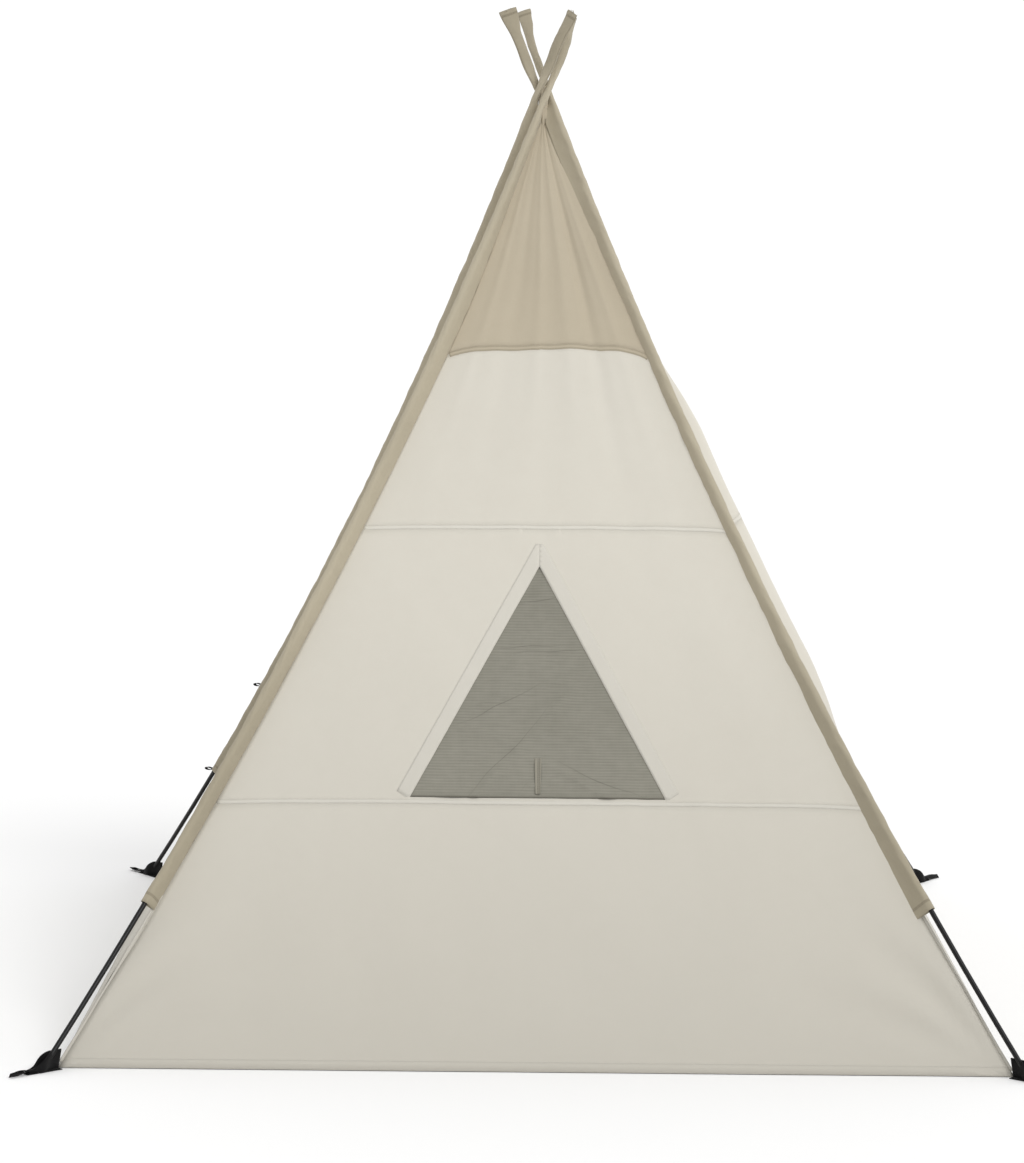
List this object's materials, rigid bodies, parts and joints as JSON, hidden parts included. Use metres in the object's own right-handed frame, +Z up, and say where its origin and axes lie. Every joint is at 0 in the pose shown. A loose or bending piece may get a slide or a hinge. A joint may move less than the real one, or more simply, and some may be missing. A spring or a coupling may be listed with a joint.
{
  "type": "teepee tent",
  "caption": "Free-standing teepee tent: bowed poles in canvas sleeves crossing above a pyramid of sewn panels, with mesh windows, a zipped door and a sewn-in floor",
  "frame": {"origin": "on the ground at the centre of the square base", "axes": "+Z up; the front wall, with its window, faces -Y; the door wall faces +Y; +X is to the right seen from the front"},
  "size_m": [2.5544, 2.5544, 2.6148],
  "materials": {
    "canvas_tan": "tan plain-woven tent canvas",
    "canvas_cream": "cream plain-woven tent canvas",
    "facing_canvas": "pale canvas strip",
    "window_mesh": "grey-green insect mesh",
    "tape_pale": "pale woven tape",
    "webbing_black": "black webbing",
    "groundsheet": "coated groundsheet",
    "pole_steel": "glossy black coating",
    "cap_plastic": "black moulded plastic",
    "zip_chain": "moulded zip teeth on tape",
    "zip_metal": "black enamelled slider"
  },
  "bodies": {
    "tent": {"crown": "canvas_tan", "floor": "groundsheet", "zip_on_wall": "zip_chain", "lower_front": "canvas_cream", "middle_front": "canvas_cream", "upper_front": "canvas_cream", "mesh_front": "window_mesh", "facing_front": "facing_canvas", "tie_front": "tape_pale", "lower_right": "canvas_cream", "middle_right": "canvas_cream", "upper_right": "canvas_cream", "mesh_right": "window_mesh", "facing_right": "facing_canvas", "tie_right": "tape_pale", "lower_rear": "canvas_cream", "middle_rear": "canvas_cream", "upper_rear": "canvas_cream", "lower_left": "canvas_cream", "middle_left": "canvas_cream", "upper_left": "canvas_cream", "mesh_left": "window_mesh", "facing_left": "facing_canvas", "tie_left": "tape_pale", "sleeve_front_left": "canvas_tan", "pocket_front_left": "webbing_black", "sleeve_front_right": "canvas_tan", "pocket_front_right": "webbing_black", "sleeve_rear_right": "canvas_tan", "pocket_rear_right": "webbing_black", "sleeve_rear_left": "canvas_tan", "pocket_rear_left": "webbing_black"},
    "pole_front_left": {"pole_front_left_tubes": "pole_steel", "pole_front_left_spigots": "pole_steel", "pole_front_left_caps": "cap_plastic"},
    "pole_front_right": {"pole_front_right_tubes": "pole_steel", "pole_front_right_spigots": "pole_steel", "pole_front_right_caps": "cap_plastic"},
    "pole_rear_right": {"pole_rear_right_tubes": "pole_steel", "pole_rear_right_spigots": "pole_steel", "pole_rear_right_caps": "cap_plastic"},
    "pole_rear_left": {"pole_rear_left_tubes": "pole_steel", "pole_rear_left_spigots": "pole_steel", "pole_rear_left_caps": "cap_plastic"},
    "stake_loop_front_left": {"stake_loop_front_left": "webbing_black"},
    "stake_loop_front_right": {"stake_loop_front_right": "webbing_black"},
    "stake_loop_rear_right": {"stake_loop_rear_right": "webbing_black"},
    "stake_loop_rear_left": {"stake_loop_rear_left": "webbing_black"},
    "storm_flap_front": {"storm_flap_front": "canvas_cream"},
    "storm_flap_right": {"storm_flap_right": "canvas_cream"},
    "storm_flap_left": {"storm_flap_left": "canvas_cream"},
    "door": {"door_flap": "canvas_cream", "zip_on_door": "zip_chain"},
    "slider": {"zip_slider": "zip_metal"},
    "pull": {"zip_pull": "zip_metal"},
    "tie_loop_upper": {"tie_loop_upper": "webbing_black"},
    "tie_loop_lower": {"tie_loop_lower": "webbing_black"}
  },
  "joints": [
    {"name": "pole_front_left_travel", "type": "hinge", "parent": "tent", "child": "pole_front_left", "pos_m": [-7.89562, -7.75508, 8.42616], "axis": [0.6996, -0.7146, 0], "range_deg": [0, 0.2819]},
    {"name": "pole_front_right_travel", "type": "hinge", "parent": "tent", "child": "pole_front_right", "pos_m": [7.75508, -7.89562, 8.42616], "axis": [0.7146, 0.6996, 0], "range_deg": [0, 0.2819]},
    {"name": "pole_rear_right_travel", "type": "hinge", "parent": "tent", "child": "pole_rear_right", "pos_m": [7.89562, 7.75508, 8.42616], "axis": [-0.6996, 0.7146, 0], "range_deg": [0, 0.2819]},
    {"name": "pole_rear_left_travel", "type": "hinge", "parent": "tent", "child": "pole_rear_left", "pos_m": [-7.75508, 7.89562, 8.42616], "axis": [-0.7146, -0.6996, 0], "range_deg": [0, 0.2819]},
    {"name": "stake_loop_front_left_hinge", "type": "hinge", "parent": "tent", "child": "stake_loop_front_left", "pos_m": [-1.222, -1.222, 0.0071], "axis": [-0.7071, 0.7071, 0], "range_deg": [0, 95]},
    {"name": "stake_loop_front_right_hinge", "type": "hinge", "parent": "tent", "child": "stake_loop_front_right", "pos_m": [1.222, -1.222, 0.0071], "axis": [-0.7071, -0.7071, 0], "range_deg": [0, 95]},
    {"name": "stake_loop_rear_right_hinge", "type": "hinge", "parent": "tent", "child": "stake_loop_rear_right", "pos_m": [1.222, 1.222, 0.0071], "axis": [0.7071, -0.7071, 0], "range_deg": [0, 95]},
    {"name": "stake_loop_rear_left_hinge", "type": "hinge", "parent": "tent", "child": "stake_loop_rear_left", "pos_m": [-1.222, 1.222, 0.0071], "axis": [0.7071, 0.7071, 0], "range_deg": [0, 95]},
    {"name": "storm_flap_front_hinge", "type": "hinge", "parent": "tent", "child": "storm_flap_front", "pos_m": [0, -0.79293, 0.63], "axis": [1, 0, 0], "range_deg": [0, 152.2]},
    {"name": "storm_flap_right_hinge", "type": "hinge", "parent": "tent", "child": "storm_flap_right", "pos_m": [0.79293, 0, 0.63], "axis": [0, 1, 0], "range_deg": [0, 152.2]},
    {"name": "storm_flap_left_hinge", "type": "hinge", "parent": "tent", "child": "storm_flap_left", "pos_m": [-0.79293, 0, 0.63], "axis": [0, -1, 0], "range_deg": [0, 152.2]},
    {"name": "door_hinge", "type": "hinge", "parent": "tent", "child": "door", "pos_m": [-0.97575, 1.10845, 0.095], "axis": [0.4249, -0.434, 0.7944], "range_deg": [0, 110]},
    {"name": "zip_travel", "type": "hinge", "parent": "tent", "child": "slider", "pos_m": [0, 14.28161, 8.01083], "axis": [-1, 0, 0], "range_deg": [-4.29, 0]},
    {"name": "pull_hinge", "type": "hinge", "parent": "slider", "child": "pull", "pos_m": [0.031, 0.52413, 1.16685], "axis": [1, 0, 0], "range_deg": [0, 90]},
    {"name": "tie_loop_upper_hinge", "type": "hinge", "parent": "tent", "child": "tie_loop_upper", "pos_m": [-0.82249, 0.82249, 0.655], "axis": [0.7071, 0.7071, 0], "range_deg": [-18, 60]},
    {"name": "tie_loop_lower_hinge", "type": "hinge", "parent": "tent", "child": "tie_loop_lower", "pos_m": [-0.98396, 0.98396, 0.372], "axis": [0.7071, 0.7071, 0], "range_deg": [-18, 60]}
  ]
}
